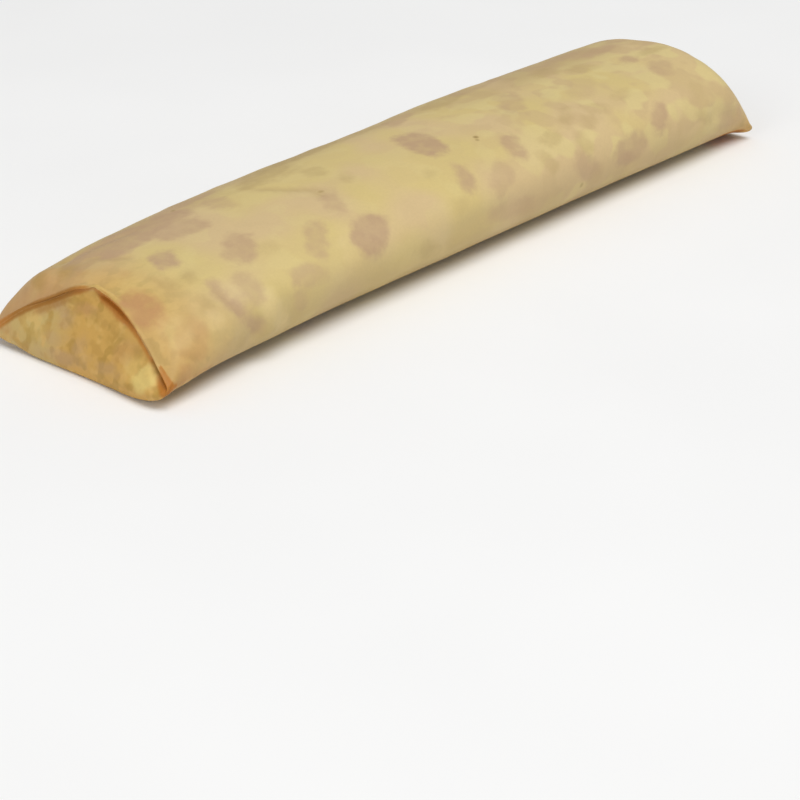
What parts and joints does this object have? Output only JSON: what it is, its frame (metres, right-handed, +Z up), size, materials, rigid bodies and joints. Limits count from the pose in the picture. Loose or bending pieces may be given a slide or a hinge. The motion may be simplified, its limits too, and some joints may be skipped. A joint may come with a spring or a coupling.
{
  "type": "raspberry blintz",
  "caption": "Thin fried crepe rolled round a raspberry filling into a flattened roll, with both ends tucked in like pockets.",
  "frame": {"origin": "bottom centre of the roll, on the plane it rests on", "axes": "+X along the roll, from the end with the wider and lower mouth to the other end; +Z up from the flattened underside; +Y across, towards the side with the crepe's free edge"},
  "size_m": [0.1459, 0.0384, 0.0162],
  "materials": {
    "crepe": "soft, slightly oily fried crepe, pale yellow with browned spots"
  },
  "bodies": {
    "root": {"crepe_roll": "crepe"}
  },
  "joints": []
}
